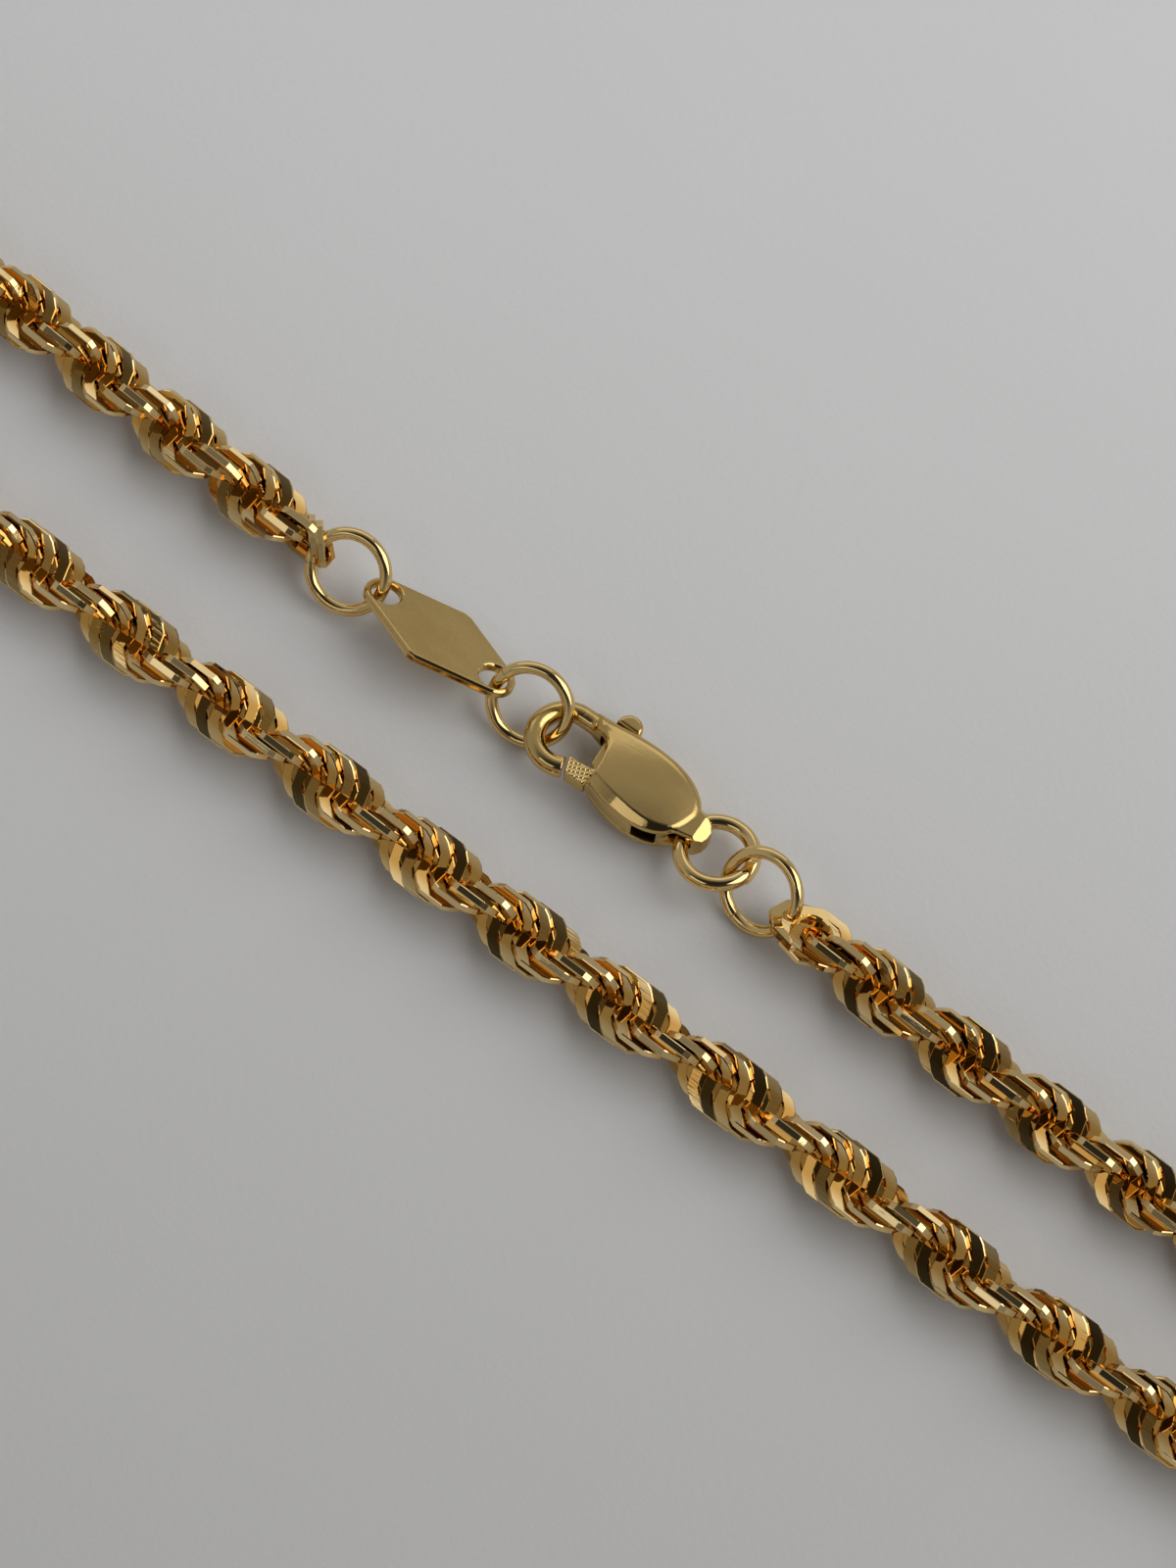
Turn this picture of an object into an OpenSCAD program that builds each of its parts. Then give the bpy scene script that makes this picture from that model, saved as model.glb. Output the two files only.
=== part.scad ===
// Necklace of solid rope chain with a lobster clasp, lying closed on a flat surface.
// X runs along the two strands, Z is up, and the origin is under the middle of the necklace.

/* [Chain] */
// Thickness of the rope chain
rope_d = 3.86; // [3.4:0.02:4.2]
// Height of the chain's middle line above the surface, as a share of its thickness
rope_rise = 0.5; // [0.5:0.01:0.55]
// Outer size of an end link across its flats
link_od = 3.6; // [3.4:0.1:4]
// Radial width of a link's wire
link_w = 0.6; // [0.5:0.05:0.7]
// Thickness of a link
link_t = 0.42; // [0.3:0.02:0.5]
// Bare length left between an end link and the rope behind it
link_gap = 0.1; // [0.05:0.05:0.3]

/* [Jump rings] */
// Outer diameter of the three jump rings
jump_od = 5.12; // [5:0.02:5.3]
// Wire of the jump rings
jump_wire = 0.72; // [0.6:0.02:0.76]
// Outer diameter of the ring in the clasp's tail
tail_ring_od = 4.9; // [4.8:0.05:5.2]
// Wire of the ring in the clasp's tail
tail_ring_wire = 0.86; // [0.7:0.02:0.9]

/* [Tag] */
// Greatest width of the tag
tag_w = 5.3; // [4.8:0.1:5.8]
// Thickness of the tag
tag_t = 0.6; // [0.4:0.05:0.65]
// Distance between the tag's two holes
tag_pitch = 7.86; // [7:0.1:9]
// Diameter of the tag's holes
tag_hole_d = 1.7; // [1.6:0.05:2]
// Metal left round a hole at the tag's tips
tag_rim = 0.4; // [0.3:0.05:0.6]
// Width of the blunt on the tag's side corners
tag_blunt = 0.45; // [0.2:0.05:0.8]

/* [Clasp] */
// Length of the clasp over all
clasp_len = 12; // [11.6:0.1:13]
// Width of the clasp's body
clasp_w = 4.3; // [4:0.1:4.8]
// Thickness of the clasp at the middle of its dome
clasp_t = 2.7; // [2.5:0.05:3]
// Radius of the domed faces
dome_r = 20; // [14:1:30]
// Radius of the hook's middle line
hook_r = 1.73; // [1.7:0.02:1.9]
// Width of the hook's metal, across its bend
hook_w = 0.93; // [0.8:0.02:1]
// Thickness of the hook's metal
hook_t = 1.2; // [1:0.02:1.24]
// Diameter of the hole through the clasp's tail
tail_hole_d = 1.6; // [1.5:0.02:1.7]
// Thickness of the clasp's tail
tail_t = 2.1; // [2:0.05:2.3]

/* [Lever] */
// Thickness of the lever between the cheeks
lever_t = 0.9; // [0.7:0.05:1]
// Gap on each side of the lever
lever_gap = 0.06; // [0.04:0.01:0.1]
// Diameter of the hinge pin
pin_d = 0.8; // [0.6:0.05:0.9]
// Clearance round the pin, on the radius
pin_gap = 0.05; // [0.03:0.01:0.08]
// Distance from the pin to the end face of the gate
gate_r = 2.95; // [2.8:0.05:3]
// Gap between the gate and the hook's tip
gate_gap = 0.14; // [0.1:0.02:0.2]
// Thickness of the gate's end block
gate_t = 1.06; // [0.9:0.02:1.1]
// Width of the thumb nub
nub_w = 1.5; // [1.3:0.1:1.7]
// Thickness of the thumb nub
nub_t = 1.5; // [1.2:0.1:1.8]
// How far the nub stands out of the body
nub_h = 0.92; // [0.6:0.02:1.1]
// Gap between the nub and the root of the hook
nub_gap = 0.15; // [0.1:0.05:0.25]

/* [Hidden] */
$fn = 48;
gold = [0.83, 0.69, 0.37];
slack = 1;

// Middle lines of the rings and of the links
jump_r = (jump_od - jump_wire) / 2;
tail_ring_r = (tail_ring_od - tail_ring_wire) / 2;
link_hole_r = link_od / 2 - link_w;
hook_x = hook_r + hook_w / 2;

// Where the clasp lies: the outermost point of its hook, its turn from X and its roll
clasp_lift = 0.18;
clasp_at = [-4.9, 5.09, clasp_t / 2 + clasp_lift];
clasp_turn = 2.4;
clasp_roll = -8;
tail_axis = 15;
tail_in = 1.1;
tail_side = -0.3;

// How far each linked pair hangs from being drawn tight
hook_play = 0.375;
tag_play = 0.18;
tail_play = 0.27;
ring_play = 0.09;

// The way from each piece to the next one: turn from X and rise above the flat, in degrees
to_ring_2 = [176, 9.9];
to_tag = [185.8, 7.3];
to_ring_1 = [186.7, 5.2];
to_tag_link = [172.7, 3];
to_tail_ring = [-4.5, 4.7];
to_ring_3 = [-5.7, 4];
to_clasp_link = [-6.2, -1.2];

// How each ring and link leans: tilt of its axis from upright, and the way its axis points
lean_ring_2 = [44.9, -73.4];
lean_ring_1 = [41.3, -76.1];
lean_ring_3 = [44.1, -97.7];
lean_tail_ring = [10.6, 114.1];
lean_tag_link = [88.9, 43.4];
lean_clasp_link = [34.2, 80.4];
tag_turn = -2.5;
tag_pitch_up = 2.3;
tag_roll = -29.2;

function aim(way) = [cos(way[1]) * cos(way[0]), cos(way[1]) * sin(way[0]), sin(way[1])];
function turn_z(p, a) = [p[0] * cos(a) - p[1] * sin(a), p[0] * sin(a) + p[1] * cos(a), p[2]];
function turn_x(p, a) = [p[0], p[1] * cos(a) - p[2] * sin(a), p[1] * sin(a) + p[2] * cos(a)];
function on_clasp(p) = clasp_at + turn_z(turn_x(p, clasp_roll), clasp_turn);

// Middles of the pieces, worked out along the row from the clasp
hook_at = on_clasp([hook_x, 0, 0]);
ring_2_at = hook_at + aim(to_ring_2) * (hook_r + jump_r - hook_w / 2 - jump_wire / 2 - hook_play);
tag_reach = jump_r + tag_hole_d / 2 - jump_wire / 2 - tag_play;
tag_hole_at = ring_2_at + aim(to_tag) * tag_reach;
tag_along = aim([tag_turn, tag_pitch_up]);
tag_at = tag_hole_at - tag_along * tag_pitch / 2;
ring_1_at = tag_hole_at - tag_along * tag_pitch + aim(to_ring_1) * tag_reach;
tag_link_at = ring_1_at + aim(to_tag_link) * jump_r;
tail_hole_at = on_clasp([clasp_len - tail_in, tail_side, 0]);
tail_reach = tail_ring_r - (tail_hole_d / 2 - tail_ring_wire / 2 - tail_play);
tail_ring_at = tail_hole_at + aim(to_tail_ring) * tail_reach;
ring_reach = tail_ring_r + jump_r - tail_ring_wire / 2 - jump_wire / 2 - ring_play;
ring_3_at = tail_ring_at + aim(to_ring_3) * ring_reach;
clasp_link_at = ring_3_at + aim(to_clasp_link) * (jump_r + link_hole_r - jump_wire / 2 - ring_play);

// Points of the rope's middle line as it lies, from the clasp's side round to the tag's side
rope_route = [
    [24, 4.2], [36, 4.2], [48, 4.2], [60, 4.2], [72, 4.3], [83, 4.6], [93, 5.5], [101, 6.9], [107, 8.1],
    [111, 8.5], [114.5, 7.8], [117.5, 5.8], [119.5, 2.8], [120.2, -0.5], [119.5, -3.8], [117.5, -6.8],
    [114.5, -8.8], [111, -9.5], [106, -9.2], [99, -7.8], [91, -6.4], [81, -5.5], [70, -5.2], [58, -5.1],
    [46, -5.1], [34, -5.2], [22, -5.1], [10, -5.1], [-2, -5.2], [-14, -5.2], [-26, -5.3], [-38, -5.3],
    [-50, -5.3], [-62, -5.4], [-73, -5.7], [-83, -6.6], [-92, -8.2], [-99, -9.8], [-104, -10.8],
    [-109, -11], [-113.2, -10.2], [-116.8, -7.8], [-119.3, -4.2], [-120.2, 0], [-119.3, 4.2],
    [-116.8, 7.8], [-113.2, 10.2], [-109, 11], [-104, 10.8], [-98, 9.8], [-90, 8.1], [-81, 6.9],
    [-70, 6.4], [-58, 6.3], [-46, 6.2], [-34, 5.8]];
rope_sides = 12;
rope_z = rope_d * rope_rise;
rope_taper = 0.7;
link_reach = link_od / 2 / cos(22.5) + link_gap;
rope_from = clasp_link_at[0] + link_reach;
rope_to = tag_link_at[0] - link_reach;
rope_line = concat(
    [[rope_from, clasp_link_at[1]], [rope_from + slack, clasp_link_at[1]]],
    rope_route,
    [[rope_to - slack, tag_link_at[1]], [rope_to, tag_link_at[1]]]);
rope_last = len(rope_line) - 1;

function unit(v) = v / norm(v);
function heading(k) = unit(rope_line[min(k + 1, rope_last)] - rope_line[max(k - 1, 0)]);
function rope_radius(k) = rope_d / 2 * (k == 0 || k == rope_last ? rope_taper : 1);
function rope_point(k, a) =
    let (h = heading(k), r = rope_radius(k))
    [rope_line[k][0] + h[1] * r * sin(a), rope_line[k][1] - h[0] * r * sin(a), rope_z - r * cos(a)];
rope_points = [for (k = [0 : rope_last]) for (s = [0 : rope_sides - 1]) rope_point(k, s * 360 / rope_sides)];
rope_faces = concat(
    [[for (s = [rope_sides - 1 : -1 : 0]) s]],
    [for (k = [0 : rope_last - 1]) for (s = [0 : rope_sides - 1])
        let (a = k * rope_sides + s, b = k * rope_sides + (s + 1) % rope_sides)
        [a, b, b + rope_sides, a + rope_sides]],
    [[for (s = [0 : rope_sides - 1]) rope_last * rope_sides + s]]);

// Outline of the clasp's body, as shares of its length and width, for a curve through four guides
upper_edge = [[0.24, 0.5], [0.47, 0.53], [0.73, 0.59], [0.9, 0.12]];
lower_edge = [[0.9, -0.2], [0.83, -0.66], [0.583, -0.585], [0.41, -0.4]];
front_edge = [[0.41, -0.4], [0.404, -0.05], [0.383, 0.25], [0.275, 0.3]];
edge_steps = 10;
tail_outline = [[0.8, 0.22], [0.93, 0.14], [1, 0.04], [1, -0.21], [0.93, -0.27], [0.8, -0.34]];

function curve(g, t) = pow(1 - t, 3) * g[0] + 3 * t * pow(1 - t, 2) * g[1]
    + 3 * t * t * (1 - t) * g[2] + pow(t, 3) * g[3];
function edge(g) = [for (i = [0 : edge_steps - 1]) curve(g, i / edge_steps)];
function sized(points) = [for (p = points) [p[0] * clasp_len, p[1] * clasp_w]];

dome_at = [clasp_len * 0.58, 0];
pin_at = [clasp_len * 0.5, -clasp_w * 0.116];
pin_cover = 0.4;
pin_len = clasp_t - 2 * pin_cover;
dome_steps = 144;
hook_sweep = 222;
slot_t = lever_t + 2 * lever_gap;
slot_nub_end = clasp_len * 0.61;
slot_end = clasp_len * 0.8;
slot_top = clasp_w * 0.3;
gate_mid_y = -1.4;
gate_w = 1.06;
gate_root = clasp_len * 0.395;
heel_end = clasp_len * 0.68;
heel_w = 0.95;
hub_wall = 0.65;
hub_r = pin_d / 2 + hub_wall;
nub_x = clasp_len * 0.385;
slot_from = nub_x - nub_w / 2 - nub_gap;
body_top = max([for (p = edge(upper_edge)) p[1]]) * clasp_w;
nub_lift = 0.08;
nub_foot = body_top + nub_lift;
nub_top = nub_foot + nub_h;

// Places a child where its axis leans by tilt degrees towards a compass angle
module leaning(at, lean) {
    translate(at)
        rotate([0, 0, lean[1]])
            rotate([0, lean[0], 0])
                children();
}

module on_the_clasp() {
    translate(clasp_at)
        rotate([0, 0, clasp_turn])
            rotate([clasp_roll, 0, 0])
                children();
}

module ring(middle_r, wire) {
    rotate_extrude()
        translate([middle_r, 0])
            circle(d = wire);
}

module flat_link() {
    linear_extrude(link_t, center = true)
        difference() {
            rotate(22.5)
                circle(d = link_od / cos(22.5), $fn = 8);
            circle(r = link_hole_r);
        }
}

module rope_chain() {
    color(gold)
        polyhedron(rope_points, rope_faces);
}

module end_link_tag_side() {
    color(gold)
        leaning(tag_link_at, lean_tag_link)
            flat_link();
}

module end_link_clasp_side() {
    color(gold)
        leaning(clasp_link_at, lean_clasp_link)
            flat_link();
}

module jump_ring_1() {
    color(gold)
        leaning(ring_1_at, lean_ring_1)
            ring(jump_r, jump_wire);
}

module jump_ring_2() {
    color(gold)
        leaning(ring_2_at, lean_ring_2)
            ring(jump_r, jump_wire);
}

module jump_ring_3() {
    color(gold)
        leaning(ring_3_at, lean_ring_3)
            ring(jump_r, jump_wire);
}

module tail_ring() {
    color(gold)
        leaning(tail_ring_at, lean_tail_ring)
            ring(tail_ring_r, tail_ring_wire);
}

// Where the tag's straight side leaves the round of its tip
tag_tip_r = tag_hole_d / 2 + tag_rim;
tag_corner = [tag_blunt / 2, tag_w / 2];
tag_to_corner = tag_corner - [tag_pitch / 2, 0];
tag_leave = atan2(tag_to_corner[1], tag_to_corner[0]) - acos(tag_tip_r / norm(tag_to_corner));
tag_side = [tag_pitch / 2 + tag_tip_r * cos(tag_leave), tag_tip_r * sin(tag_leave)];

module tag() {
    color(gold)
        translate(tag_at)
            rotate([0, -tag_pitch_up, tag_turn])
                rotate([tag_roll, 0, 0])
                    linear_extrude(tag_t, center = true)
                        difference() {
                            union() {
                                polygon([
                                    tag_side, tag_corner,
                                    [-tag_corner[0], tag_corner[1]], [-tag_side[0], tag_side[1]],
                                    [-tag_side[0], -tag_side[1]], [-tag_corner[0], -tag_corner[1]],
                                    [tag_corner[0], -tag_corner[1]], [tag_side[0], -tag_side[1]]]);
                                for (end = [-1, 1])
                                    translate([end * tag_pitch / 2, 0])
                                        circle(r = tag_tip_r);
                            }
                            for (end = [-1, 1])
                                translate([end * tag_pitch / 2, 0])
                                    circle(d = tag_hole_d);
                        }
}

module hook_section() {
    square([hook_w, hook_t - hook_w], center = true);
    for (side = [-1, 1])
        translate([0, side * (hook_t - hook_w) / 2])
            circle(d = hook_w);
}

module hook() {
    difference() {
        translate([hook_x, 0, 0])
            rotate([0, 0, 90])
                rotate_extrude(angle = hook_sweep)
                    translate([hook_r, 0])
                        hook_section();
        translate([pin_at[0], pin_at[1], 0])
            cylinder(r = gate_r + gate_gap, h = 2 * hook_t, center = true);
    }
    translate([hook_x, hook_r, 0])
        rotate([90, 0, 90])
            linear_extrude(slot_from - hook_x)
                hook_section();
}

module body_outline() {
    polygon(sized(concat(edge(upper_edge), edge(lower_edge), edge(front_edge), [front_edge[3]])));
}

module cheeks() {
    intersection() {
        linear_extrude(clasp_t, center = true)
            body_outline();
        translate([dome_at[0], dome_at[1], clasp_t / 2 - dome_r])
            sphere(r = dome_r, $fn = dome_steps);
        translate([dome_at[0], dome_at[1], dome_r - clasp_t / 2])
            sphere(r = dome_r, $fn = dome_steps);
    }
}

// Space between the cheeks: open in front, along the lower edge and above the nub's swing
module slot() {
    linear_extrude(slot_t, center = true)
        polygon([
            [slot_from, -clasp_w], [slot_end, -clasp_w], [slot_end, -clasp_w * 0.1],
            [slot_nub_end, slot_top], [slot_nub_end, clasp_w], [slot_from, clasp_w]]);
}

module clasp_body() {
    color(gold)
        on_the_clasp()
            difference() {
                union() {
                    hook();
                    cheeks();
                    linear_extrude(tail_t, center = true)
                        polygon(sized(tail_outline));
                }
                slot();
                translate([pin_at[0], pin_at[1], 0])
                    cylinder(d = pin_d, h = pin_len, center = true);
                translate([clasp_len - tail_in, tail_side, 0])
                    rotate([-90, 0, -tail_axis])
                        cylinder(d = tail_hole_d, h = 2 * clasp_w, center = true);
            }
}

module clasp_pin() {
    color(gold)
        on_the_clasp()
            translate([pin_at[0], pin_at[1], 0])
                cylinder(d = pin_d, h = pin_len, center = true);
}

// Thumb nub: a round-topped block outside the body, on a neck that runs between the cheeks
module nub() {
    intersection() {
        translate([nub_x, nub_top - nub_w / 2, 0])
            linear_extrude(nub_t, center = true) {
                circle(d = nub_w);
                translate([-nub_w / 2, -nub_w])
                    square([nub_w, nub_w]);
            }
        translate([0, nub_foot, -nub_t])
            cube([clasp_len, nub_h, 2 * nub_t]);
    }
    linear_extrude(lever_t, center = true)
        polygon([
            [nub_x - nub_w / 2, nub_top - nub_w / 2], [nub_x + nub_w / 2, nub_top - nub_w / 2],
            [pin_at[0] + hub_r, pin_at[1]], [pin_at[0], pin_at[1] - hub_r], [nub_x - nub_w / 4, pin_at[1]]]);
}

// Gate: the end block that closes the hook, cut round about the pin, and its arm to the pin
module gate() {
    intersection() {
        translate([pin_at[0] - gate_r, gate_mid_y - gate_w / 2, -gate_t / 2])
            cube([gate_root - pin_at[0] + gate_r, gate_w, gate_t]);
        translate([pin_at[0], pin_at[1], 0])
            cylinder(r = gate_r, h = gate_t, center = true);
    }
    linear_extrude(lever_t, center = true)
        polygon([
            [gate_root - gate_w, gate_mid_y - gate_w / 2], [pin_at[0], pin_at[1] - hub_r],
            [pin_at[0], pin_at[1]], [gate_root - gate_w, gate_mid_y + gate_w / 2]]);
}

// Heel: fills the slot's lower side behind the gate's arm, flush with the body's lower edge
module heel() {
    linear_extrude(lever_t, center = true)
        intersection() {
            body_outline();
            polygon([
                [gate_root, -clasp_w], [heel_end, -clasp_w],
                [heel_end, heel_w - clasp_w / 2], [pin_at[0], pin_at[1]], [gate_root, pin_at[1] - hub_r]]);
        }
}

module clasp_lever() {
    color(gold)
        on_the_clasp()
            difference() {
                union() {
                    gate();
                    nub();
                    heel();
                    translate([pin_at[0], pin_at[1], 0])
                        cylinder(r = hub_r, h = lever_t, center = true);
                }
                translate([pin_at[0], pin_at[1], 0])
                    cylinder(r = pin_d / 2 + pin_gap, h = 2 * nub_t, center = true);
            }
}

rope_chain();
end_link_tag_side();
end_link_clasp_side();
jump_ring_1();
jump_ring_2();
jump_ring_3();
tail_ring();
tag();
clasp_body();
clasp_pin();
clasp_lever();
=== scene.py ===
"""A gold rope chain necklace: a thousand cut rings, a lobster clasp, a plain tag and the rings between them."""
import math

import bmesh
import bpy
import numpy as np
import openvdb
from mathutils import Matrix, Vector


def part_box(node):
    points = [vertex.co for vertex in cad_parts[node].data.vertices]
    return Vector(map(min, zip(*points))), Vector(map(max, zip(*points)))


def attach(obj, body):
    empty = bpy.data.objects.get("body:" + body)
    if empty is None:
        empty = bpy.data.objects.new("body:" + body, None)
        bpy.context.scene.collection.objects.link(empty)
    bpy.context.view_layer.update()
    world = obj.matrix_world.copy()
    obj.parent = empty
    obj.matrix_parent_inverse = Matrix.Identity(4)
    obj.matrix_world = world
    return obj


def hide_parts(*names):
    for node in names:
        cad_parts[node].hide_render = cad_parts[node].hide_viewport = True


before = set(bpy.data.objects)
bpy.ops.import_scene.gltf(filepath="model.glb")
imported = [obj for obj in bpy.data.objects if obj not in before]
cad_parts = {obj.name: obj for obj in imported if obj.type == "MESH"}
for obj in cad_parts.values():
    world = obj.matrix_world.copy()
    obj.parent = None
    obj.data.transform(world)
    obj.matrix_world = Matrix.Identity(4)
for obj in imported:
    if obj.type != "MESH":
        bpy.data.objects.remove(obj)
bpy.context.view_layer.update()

bl_info = {
    "name": "Rope Chain Necklace",
    "version": (1, 0, 0),
    "blender": (4, 5, 0),
    "location": "View3D > Sidebar > Necklace",
    "description": "Builds a gold rope chain with a lobster clasp, ring by ring",
    "category": "Add Mesh",
}

BODY = "necklace"
LEVER_BODY = "lever"

# Points of the rope's middle line as it lies, from the clasp's side round to the tag's side, in metres
ROPE_ROUTE = (
    (.024, .0042), (.036, .0042), (.048, .0042), (.06, .0042), (.072, .0043), (.083, .0046), (.093, .0055),
    (.101, .0069), (.107, .0081), (.111, .0085), (.1145, .0078), (.1175, .0058), (.1195, .0028),
    (.1202, -.0005), (.1195, -.0038), (.1175, -.0068), (.1145, -.0088), (.111, -.0095), (.106, -.0092),
    (.099, -.0078), (.091, -.0064), (.081, -.0055), (.07, -.0052), (.058, -.0051), (.046, -.0051),
    (.034, -.0052), (.022, -.0051), (.01, -.0051), (-.002, -.0052), (-.014, -.0052), (-.026, -.0053),
    (-.038, -.0053), (-.05, -.0053), (-.062, -.0054), (-.073, -.0057), (-.083, -.0066), (-.092, -.0082),
    (-.099, -.0098), (-.104, -.0108), (-.109, -.011), (-.1132, -.0102), (-.1168, -.0078), (-.1193, -.0042),
    (-.1202, 0), (-.1193, .0042), (-.1168, .0078), (-.1132, .0102), (-.109, .011), (-.104, .0108),
    (-.098, .0098), (-.09, .0081), (-.081, .0069), (-.07, .0064), (-.058, .0063), (-.046, .0062),
    (-.034, .0058),
)


# Outlines of the clasp, as shares of its length and width. The three edges are curves of four guides each
UPPER_EDGE = ((.24, .5), (.5, .56), (.84, .68), (.918, .05))
LOWER_EDGE = ((.918, .05), (.87, -.7), (.583, -.6), (.41, -.4))
FRONT_EDGE = ((.41, -.4), (.404, -.05), (.383, .25), (.275, .3))
TAIL_OUTLINE = ((.8, .22), (.93, .15), (.975, .09), (.997, .01), (1, -.09), (.993, -.18), (.965, -.25),
                (.8, -.34))
SLOT_OUTLINE = ((.31, -1), (.8, -1), (.8, -.1), (.61, .3), (.61, 1), (.31, 1))

# Where the hinge pin and the tail's hole cross the clasp, in the same shares
PIN_AT = (.5, -.116)
TAIL_HOLE_AT = (.908, -.07)

# The hook's tip, in degrees round its bend, and the end of its straight root as a share of the clasp's length
HOOK_TIP = 312
HOOK_ROOT = .4

# The facet across the end of the tail: the way it faces, and its height above the clasp's middle, in metres
FACET_WAY = (.5, .04, .865)
FACET_HEIGHT = .00055

# Rounding of edges and filling of seams on the clasp and the tag, in metres
CREASE = .00003
CUT_EDGE = .00005
TAG_EDGE = .00002
TAIL_ROUND = .00018
TAIL_SEAM = .00012
HOOK_SEAM = .0004
TAIL_HOLE_ROUND = .00014

# The least that the dome's edge is rolled, as a share of the most
LEAST_ROLL = .08

# Places along the lever, as shares of the clasp's length
GATE_ROOT = .395
NUB_AT = .385

# Metal round the lever's hub, the gate's two edges above the clasp's lower side and its height, in metres
HUB_WALL = .00065
GATE_EDGES = (.00022, .00128)
GATE_TALL = .00106

# Half the height of the gate's crossed ridges, and their steps one way and the other, in metres
RIDGE = .00002
RIDGE_STEPS = (.00026, .0003)

# Corners of a rope ring behind its cut side, in degrees from the way it faces
RING_CORNERS = (58, 90, 122, 155)


def length(name, words, default):
    """A size that a user may change, in metres."""
    return bpy.props.FloatProperty(name=name, description=words, default=default, unit="LENGTH", precision=6)


def angle(name, words, degrees):
    """An angle that a user may change."""
    return bpy.props.FloatProperty(name=name, description=words, default=math.radians(degrees), subtype="ANGLE")


def colour(name, words, default):
    """A colour that a user may change, linear red, green and blue."""
    return bpy.props.FloatVectorProperty(name=name, description=words, default=default, size=3, subtype="COLOR")


class RopeSettings(bpy.types.PropertyGroup):
    """The rope's rings and how they are wound."""
    radius: length("Rope radius", "From the rope's middle line to the cut outer flats", .00193)
    ring_radius: length("Ring radius", "Outer radius of one ring before it is cut", .0019)
    hole_radius: length("Hole radius", "Radius of a ring's hole", .00127)
    thickness: length("Ring thickness", "Thickness of one flat ring", .00042)
    flat: length("Outer flat", "Length of the flat that is cut on a ring's outer side", .00185)
    corner: length("Corner facet", "Length of the small facet at each end of the flat", .0003)
    bevel: length("Edge bevel", "Width of the bright bevel round a ring's outer edge", .00005)
    pitch: length("Ring pitch", "Step along the rope from one ring to the next", .000457)
    turn_clasp_side: length("Half turn, clasp side", "Length of half a turn on the strand with the clasp", .0058)
    turn_far_side: length("Half turn, far side", "Length of half a turn on the strand without the clasp", .0071)
    turn_right: angle("Turn, clasp's end", "Turn of the rings on the strand that ends at the clasp", -21.7)
    turn_far: angle("Turn, far side", "Turn of the rings on the strand without the clasp", 20)
    turn_left: angle("Turn, tag's end", "Turn of the rings on the strand that ends at the tag", 21.7)
    slack: angle("Slack", "Extra turn where the far strand is wound unevenly", 24)
    sway: angle("Sway", "Greatest chance turn of a ring away from its place", 3.5)


class RingSettings(bpy.types.PropertyGroup):
    """The round rings."""
    jump_wire: length("Jump ring wire", "Thickness of the jump rings' wire", .00072)
    tail_wire: length("Tail ring wire", "Thickness of the wire of the ring in the clasp's tail", .00086)
    cut: length("Cut", "Gap where a ring's two ends meet", .00005)


class LinkSettings(bpy.types.PropertyGroup):
    """The flat links at the rope's two ends."""
    across: length("Size", "Across the flats of an end link", .0036)
    hole: length("Hole", "Radius of an end link's hole", .0012)
    thickness: length("Thickness", "Thickness of an end link", .00042)
    bevel: length("Edge bevel", "Width of the bright bevel round an end link's edges", .00006)
    apart: length("Apart", "Step from one end link to its twin", .0007)


class TagSettings(bpy.types.PropertyGroup):
    """The lozenge tag."""
    width: length("Width", "Greatest width of the tag", .0053)
    thickness: length("Thickness", "Thickness of the tag", .0006)
    pitch: length("Hole pitch", "Distance between the tag's two holes", .00786)
    hole: length("Hole", "Diameter of the tag's holes", .0017)
    rim: length("Rim", "Metal left round a hole at the tag's tips", .0004)
    blunt: length("Blunt", "Width of the blunt on the tag's side corners", .00045)
    chamfer: length("Chamfer", "Width of the polished chamfer round the tag's faces", .00013)
    skin: length("Skin step", "Fineness of the tag's skin", .00004)


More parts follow.
